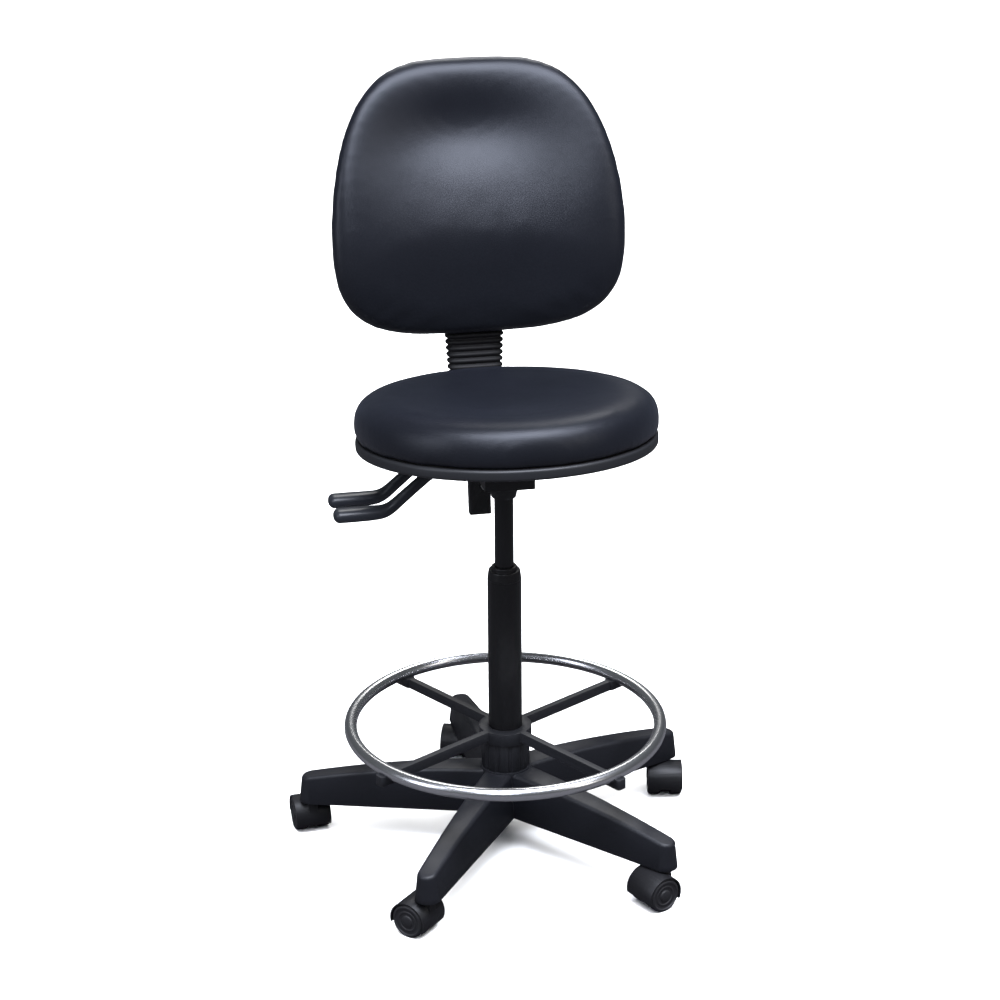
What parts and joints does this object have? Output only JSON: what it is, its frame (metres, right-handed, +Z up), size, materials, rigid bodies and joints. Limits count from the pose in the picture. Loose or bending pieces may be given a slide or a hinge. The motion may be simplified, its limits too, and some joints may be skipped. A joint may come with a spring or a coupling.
{
  "type": "drafting chair",
  "caption": "Armless drafting chair: round padded seat, curved back sliding on an upright, gas-lift column, chrome foot ring, five-arm base on casters.",
  "frame": {"origin": "the floor point under the column's axis", "axes": "+Z up along the column, -Y the way the sitter faces, +X to the sitter's left"},
  "size_m": [0.619, 0.5865, 1.1419],
  "materials": {
    "base_nylon": "fine-grained black nylon with a blue-grey sheen",
    "caster_nylon": "fine-grained black nylon",
    "caster_wheel": "hard black nylon, scuffed tread",
    "column_paint": "satin black powder coat on steel tube",
    "mechanism_paint": "matte black powder coat on pressed steel",
    "column_plastic": "satin black acetal",
    "bush_plastic": "natural acetal",
    "steel": "zinc-plated steel",
    "rod_chrome": "hard-chromed ground rod",
    "ring_chrome": "bright chrome on steel tube",
    "spider_nylon": "fine-grained black nylon",
    "collar_nylon": "fine-grained black nylon",
    "rubber_stop": "moulded rubber",
    "board_plywood": "moulded plywood",
    "seat_vinyl": "smooth black vinyl over foam with a soft blue sheen",
    "back_vinyl": "smooth black vinyl over foam with a soft blue sheen",
    "trim_plastic": "satin dark grey moulded plastic",
    "shell_plastic": "fine-grained black moulded plastic",
    "lever_plastic": "satin black moulded plastic",
    "bellows_rubber": "ribbed black rubber"
  },
  "bodies": {
    "base": {"base_star": "base_nylon", "caster_stems": "steel", "column_tube": "column_paint", "column_cap": "column_plastic", "column_guide_bush": "bush_plastic", "bearing_lower_race": "steel"},
    "caster_1": {"caster_1_hood": "caster_nylon", "caster_1_axle": "steel"},
    "caster_1_wheel_left": {"caster_1_wheel_left": "caster_wheel"},
    "caster_1_wheel_right": {"caster_1_wheel_right": "caster_wheel"},
    "caster_2": {"caster_2_hood": "caster_nylon", "caster_2_axle": "steel"},
    "caster_2_wheel_left": {"caster_2_wheel_left": "caster_wheel"},
    "caster_2_wheel_right": {"caster_2_wheel_right": "caster_wheel"},
    "caster_3": {"caster_3_hood": "caster_nylon", "caster_3_axle": "steel"},
    "caster_3_wheel_left": {"caster_3_wheel_left": "caster_wheel"},
    "caster_3_wheel_right": {"caster_3_wheel_right": "caster_wheel"},
    "caster_4": {"caster_4_hood": "caster_nylon", "caster_4_axle": "steel"},
    "caster_4_wheel_left": {"caster_4_wheel_left": "caster_wheel"},
    "caster_4_wheel_right": {"caster_4_wheel_right": "caster_wheel"},
    "caster_5": {"caster_5_hood": "caster_nylon", "caster_5_axle": "steel"},
    "caster_5_wheel_left": {"caster_5_wheel_left": "caster_wheel"},
    "caster_5_wheel_right": {"caster_5_wheel_right": "caster_wheel"},
    "foot_ring": {"foot_ring": "ring_chrome", "foot_ring_spider": "spider_nylon", "foot_ring_screws": "steel"},
    "foot_ring_collar": {"foot_ring_lock_collar": "collar_nylon"},
    "rod": {"piston_rod": "rod_chrome", "piston": "bush_plastic", "bearing_upper_race": "steel", "bearing_balls": "steel", "retaining_clip": "steel", "bump_stop": "rubber_stop"},
    "seat": {"gas_cylinder": "column_paint", "mechanism_housing": "mechanism_paint", "seat_bolts": "steel", "lever_pivot_pin": "steel", "back_pivot_pin": "steel", "tilt_springs": "steel", "seat_board": "board_plywood", "seat_cushion": "seat_vinyl", "seat_edge_trim": "trim_plastic"},
    "height_lever": {"height_lever": "steel", "height_lever_grip": "lever_plastic"},
    "back_lever": {"back_lever": "steel", "back_lever_grip": "lever_plastic"},
    "valve": {"valve_pin": "steel"},
    "back_arm": {"back_arm": "mechanism_paint", "back_bracket": "mechanism_paint", "back_bracket_bolts": "steel", "bellows": "bellows_rubber"},
    "back": {"back_upright": "mechanism_paint", "back_board": "board_plywood", "back_cushion": "back_vinyl", "back_shell": "shell_plastic", "back_screws": "steel"}
  },
  "joints": [
    {"name": "caster_1_swivel", "type": "hinge", "parent": "base", "child": "caster_1", "pos_m": [0.27466, 0.10654, 0.056], "axis": [0, 0, 1], "continuous": true},
    {"name": "caster_1_wheel_left_spin", "type": "hinge", "parent": "caster_1", "child": "caster_1_wheel_left", "pos_m": [0.27104, 0.08788, 0.025], "axis": [0.9816, -0.1908, 0], "continuous": true},
    {"name": "caster_1_wheel_right_spin", "type": "hinge", "parent": "caster_1", "child": "caster_1_wheel_right", "pos_m": [0.27104, 0.08788, 0.025], "axis": [0.9816, -0.1908, 0], "continuous": true},
    {"name": "caster_2_swivel", "type": "hinge", "parent": "base", "child": "caster_2", "pos_m": [-0.01645, 0.29414, 0.056], "axis": [0, 0, 1], "continuous": true},
    {"name": "caster_2_wheel_left_spin", "type": "hinge", "parent": "caster_2", "child": "caster_2_wheel_left", "pos_m": [-0.02294, 0.27629, 0.025], "axis": [0.9397, -0.342, 0], "continuous": true},
    {"name": "caster_2_wheel_right_spin", "type": "hinge", "parent": "caster_2", "child": "caster_2_wheel_right", "pos_m": [-0.02294, 0.27629, 0.025], "axis": [0.9397, -0.342, 0], "continuous": true},
    {"name": "caster_3_swivel", "type": "hinge", "parent": "base", "child": "caster_3", "pos_m": [-0.28483, 0.07525, 0.056], "axis": [0, 0, 1], "continuous": true},
    {"name": "caster_3_wheel_left_spin", "type": "hinge", "parent": "caster_3", "child": "caster_3_wheel_left", "pos_m": [-0.28681, 0.09415, 0.025], "axis": [-0.9945, -0.1045, 0], "continuous": true},
    {"name": "caster_3_wheel_right_spin", "type": "hinge", "parent": "caster_3", "child": "caster_3_wheel_right", "pos_m": [-0.28681, 0.09415, 0.025], "axis": [-0.9945, -0.1045, 0], "continuous": true},
    {"name": "caster_4_swivel", "type": "hinge", "parent": "base", "child": "caster_4", "pos_m": [-0.15959, -0.24763, 0.056], "axis": [0, 0, 1], "continuous": true},
    {"name": "caster_4_wheel_left_spin", "type": "hinge", "parent": "caster_4", "child": "caster_4_wheel_left", "pos_m": [-0.17325, -0.23443, 0.025], "axis": [-0.6947, -0.7193, 0], "continuous": true},
    {"name": "caster_4_wheel_right_spin", "type": "hinge", "parent": "caster_4", "child": "caster_4_wheel_right", "pos_m": [-0.17325, -0.23443, 0.025], "axis": [-0.6947, -0.7193, 0], "continuous": true},
    {"name": "caster_5_swivel", "type": "hinge", "parent": "base", "child": "caster_5", "pos_m": [0.1862, -0.2283, 0.056], "axis": [0, 0, 1], "continuous": true},
    {"name": "caster_5_wheel_left_spin", "type": "hinge", "parent": "caster_5", "child": "caster_5_wheel_left", "pos_m": [0.16898, -0.23633, 0.025], "axis": [0.4226, -0.9063, 0], "continuous": true},
    {"name": "caster_5_wheel_right_spin", "type": "hinge", "parent": "caster_5", "child": "caster_5_wheel_right", "pos_m": [0.16898, -0.23633, 0.025], "axis": [0.4226, -0.9063, 0], "continuous": true},
    {"name": "foot_ring_height", "type": "slide", "parent": "base", "child": "foot_ring", "axis": [0, 0, 1], "range_m": [0, 0.12]},
    {"name": "foot_ring_lock", "type": "hinge", "parent": "foot_ring", "child": "foot_ring_collar", "pos_m": [0, 0, 0.15], "axis": [0, 0, 1], "range_deg": [0, 60]},
    {"name": "seat_swivel", "type": "hinge", "parent": "base", "child": "rod", "pos_m": [0, 0, 0.06], "axis": [0, 0, 1], "continuous": true},
    {"name": "seat_height", "type": "slide", "parent": "rod", "child": "seat", "axis": [0, 0, 1], "range_m": [-0.1, 0.155]},
    {"name": "height_lever_lift", "type": "hinge", "parent": "seat", "child": "height_lever", "pos_m": [-0.024, -0.03, 0.609], "axis": [0, 1, 0], "range_deg": [0, 8], "stiffness_Nm_per_rad": 1, "springref_deg": -6.88},
    {"name": "back_lever_lift", "type": "hinge", "parent": "seat", "child": "back_lever", "pos_m": [-0.024, 0.03, 0.609], "axis": [0, 1, 0], "range_deg": [0, 8], "stiffness_Nm_per_rad": 1, "springref_deg": -6.88},
    {"name": "valve_press", "type": "slide", "parent": "seat", "child": "valve", "axis": [0, 0, 1], "range_m": [-0.0038, 0]},
    {"name": "back_tilt", "type": "hinge", "parent": "seat", "child": "back_arm", "pos_m": [0, 0.06, 0.6], "axis": [-1, 0, 0], "range_deg": [-3, 15]},
    {"name": "back_height", "type": "slide", "parent": "back_arm", "child": "back", "axis": [0, 0.1219, 0.9925], "range_m": [-0.02, 0.06], "deforming": ["bellows"]}
  ],
  "couplings": [
    {"joint": "valve_press", "follows": "height_lever_lift", "m_per_rad": -0.027}
  ]
}
